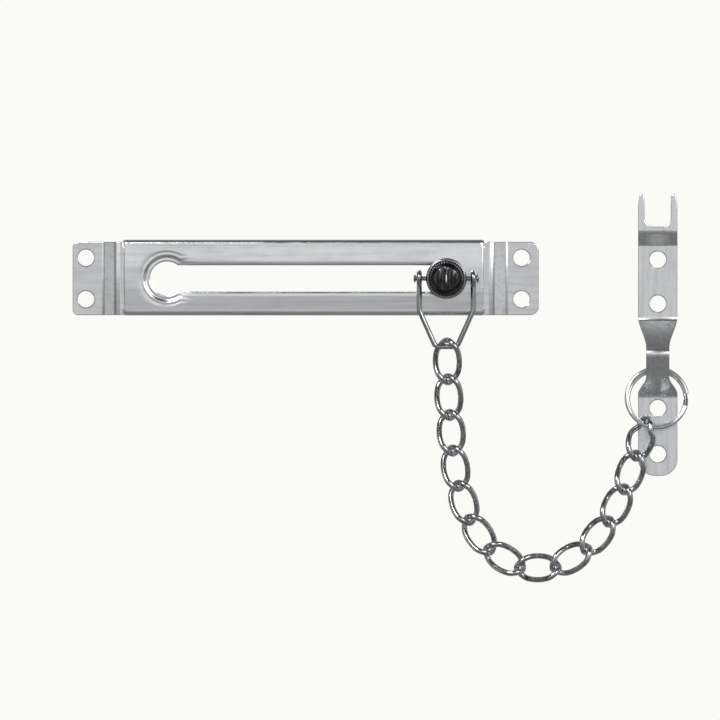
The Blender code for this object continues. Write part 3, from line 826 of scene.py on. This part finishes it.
# brightness around the object, from below behind, over the front, to behind again
FRONT_BANDS = ((degrees(-180), 0.5), (degrees(-130), 0.45), (degrees(-95), 0.2), (degrees(-60), 0.22),
               (degrees(-22), 0.33), (degrees(-5), 0.5), (degrees(6), 0.86), (degrees(15), 0.88),
               (degrees(30), 0.3), (degrees(50), 0.08), (degrees(80), 0.10), (degrees(112), 0.25),
               (degrees(140), 0.5), (degrees(180), 0.5))
# brightness from the left (0) to the right (1)
SIDE_BANDS = ((0.0, 0.58), (0.03, 0.55), (0.09, 0.08), (0.2, 0.2), (0.3, 0.6), (0.7, 0.8),
              (0.84, 0.25), (0.91, 0.12), (0.96, 0.62), (1.0, 0.75))


def make_world():
    """A pale background for the camera; bright and grey bands for everything else."""
    world = bpy.data.worlds.new("studio")
    bpy.context.scene.world = world
    world.use_nodes = True
    nodes, links = world.node_tree.nodes, world.node_tree.links
    nodes.clear()

    def maths(operation, a, b=0.0):
        made = nodes.new("ShaderNodeMath")
        made.operation = operation
        for socket, value in zip(made.inputs, (a, b)):
            if isinstance(value, float):
                socket.default_value = value
            else:
                links.new(value, socket)
        return made.outputs["Value"]

    way = nodes.new("ShaderNodeSeparateXYZ")
    links.new(nodes.new("ShaderNodeTexCoord").outputs["Generated"], way.inputs["Vector"])
    x, y, z = way.outputs
    # angle over the object, as a share of a turn: 0.5 is in front, 0.75 overhead
    pitch = maths('ARCTAN2', z, maths('MULTIPLY', y, -1.0))
    share = maths('ADD', maths('DIVIDE', pitch, 2 * math.pi), 0.5)
    band = ramp(nodes, FRONT_BANDS, share, links)
    side = ramp(nodes, SIDE_BANDS, maths('ADD', maths('MULTIPLY', x, 0.5), 0.5), links)
    lean = nodes.new("ShaderNodeMapRange")
    lean.interpolation_type = 'SMOOTHSTEP'
    lean.inputs["From Min"].default_value = 0.45
    lean.inputs["From Max"].default_value = 0.9
    links.new(maths('ABSOLUTE', x), lean.inputs["Value"])
    mixed = nodes.new("ShaderNodeMix")
    mixed.data_type = 'RGBA'
    links.new(lean.outputs["Result"], mixed.inputs["Factor"])
    links.new(band, mixed.inputs["A"])
    links.new(side, mixed.inputs["B"])

    studio = nodes.new("ShaderNodeBackground")
    links.new(mixed.outputs["Result"], studio.inputs["Color"])
    plain = nodes.new("ShaderNodeBackground")
    plain.inputs["Color"].default_value = (*BACKGROUND, 1.0)
    pick = nodes.new("ShaderNodeMixShader")
    links.new(nodes.new("ShaderNodeLightPath").outputs["Is Camera Ray"], pick.inputs["Fac"])
    links.new(studio.outputs["Background"], pick.inputs[1])
    links.new(plain.outputs["Background"], pick.inputs[2])
    links.new(pick.outputs["Shader"], nodes.new("ShaderNodeOutputWorld").inputs["Surface"])


def make_floor(level):
    """A plain pale floor just below the object."""
    bm = bmesh.new()
    bmesh.ops.create_grid(bm, x_segments=8, y_segments=8, size=1500.0)
    for vert in bm.verts:
        vert.co += Vector((VIEW_CENTRE_X, 0.0, level))
    floor = make_object(bm, "floor")
    made = bpy.data.materials.new("floor_pale")
    made.use_nodes = True
    nodes, links = made.node_tree.nodes, made.node_tree.links
    shader = nodes["Principled BSDF"]
    shader.inputs["Roughness"].default_value = 0.9
    coords = nodes.new("ShaderNodeTexCoord").outputs["Object"]
    grain = noise(nodes, links, coords, (1, 1, 1), 40.0, 4.0)
    links.new(ramp(nodes, ((0.3, (0.80, 0.80, 0.78)), (0.7, (0.84, 0.84, 0.82))), grain, links),
              shader.inputs["Base Color"])
    floor.data.materials.append(made)
    floor.visible_glossy = False


def make_camera():
    camera = bpy.data.cameras.new("camera")
    camera.type = 'ORTHO'
    camera.ortho_scale = VIEW_WIDTH * MM
    camera.clip_start = 0.005
    seat = bpy.data.objects.new("camera", camera)
    seat.location = (VIEW_CENTRE_X * MM, -0.6, VIEW_CENTRE_Z * MM)
    seat.rotation_euler = (math.radians(90.0), 0.0, 0.0)
    bpy.context.scene.collection.objects.link(seat)
    bpy.context.scene.camera = seat


# ---------------------------------------------------------------- assembly
BUFFED = ((0.60, 0.61, 0.62), (0.76, 0.77, 0.78))
GROUND = ((0.40, 0.41, 0.42), (0.60, 0.61, 0.62))
NICKEL = ((0.02, 0.02, 0.022), (0.07, 0.07, 0.075))
TURNED = ((0.10, 0.105, 0.11), (0.30, 0.31, 0.32))
DRAWN = ((0.20, 0.21, 0.22), (0.40, 0.41, 0.42))
LINK_TONES = ((0.20, 0.21, 0.22), (0.50, 0.51, 0.52))
RING_TONES = ((0.34, 0.35, 0.36), (0.64, 0.65, 0.66))

make_track_plate(steel("track_buffed", *BUFFED, 0.13, 0.25, 900.0, (14, 1, 1), 0.18))
make_bracket(steel("bracket_buffed", *BUFFED, 0.20, 0.32, 900.0, (1, 1, 12), 0.35))
make_washer(steel("washer_ground", *GROUND, 0.2, 0.4, 1200.0, (2, 1, 2), 0.6))
# the knob's front tip gets a painted highlight: the ridges at the dome's centre are painted bright grey
make_knob(steel("knob_nickel", *NICKEL, 0.08, 0.22, 1400.0, (2, 1, 2), 0.4, painted_highlight_off_wall=HEAD_FRONT - 0.05))
make_collar(steel("collar_turned", *TURNED, 0.10, 0.26, 1200.0, (2, 1, 2), 0.5))
make_bail(steel("bail_drawn_wire", *DRAWN, 0.10, 0.26, 1500.0, (1, 1, 10), 0.4))
chain_end = make_chain(steel("chain_wire", *LINK_TONES, 0.08, 0.22, 1100.0, (3, 1, 3), 0.5))
make_ring(steel("ring_wire", *RING_TONES, 0.08, 0.22, 1500.0, (4, 1, 4), 0.4), chain_end)

make_floor(cad_box[0].z / MM - 0.4)
make_world()
add_area("key", (-0.15, -0.45, 0.40), (0.07, 0.0, -0.02), 0.30, 2.2)
add_area("fill", (0.40, -0.40, 0.20), (0.09, 0.0, -0.02), 0.30, 0.9)
make_camera()
bpy.context.scene.view_settings.view_transform = 'Standard'
